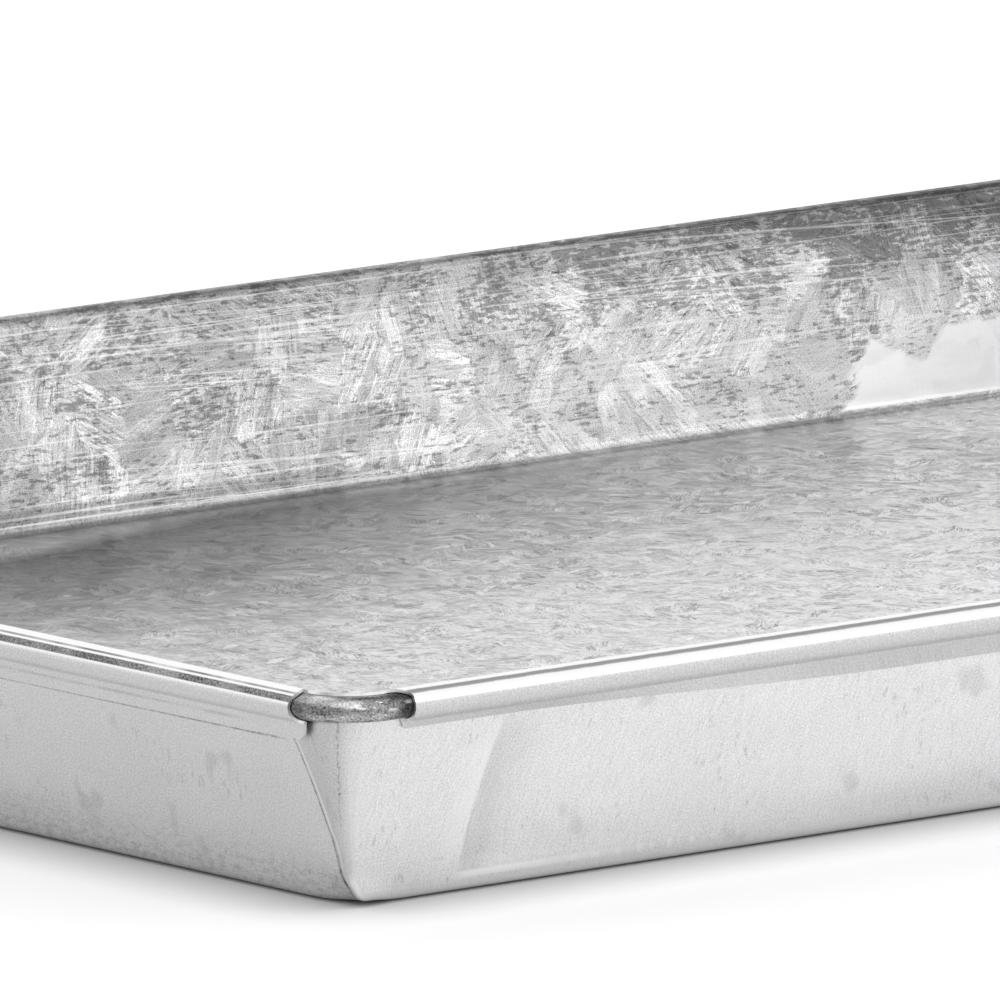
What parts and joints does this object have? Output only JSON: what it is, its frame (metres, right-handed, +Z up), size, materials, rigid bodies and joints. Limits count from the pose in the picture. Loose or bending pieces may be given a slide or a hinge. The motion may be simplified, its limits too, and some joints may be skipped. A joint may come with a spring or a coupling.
{
  "type": "wired-rim baking tray",
  "caption": "Shallow rectangular baking tray folded from zinc-coated sheet, with flared walls, folded corner ears and a rim rolled round a wire that shows at the corners.",
  "frame": {"origin": "middle of the bottom, on its underside", "axes": "+X along the long sides, +Y along the short sides, +Z up out of the open tray"},
  "size_m": [0.48, 0.35, 0.038],
  "materials": {
    "zinc_sheet": "zinc-coated sheet steel with crystal spangle",
    "wire": "dull drawn steel wire, scuffed"
  },
  "bodies": {
    "root": {"pan_sheet": "zinc_sheet", "rim_wire": "wire"}
  },
  "joints": []
}
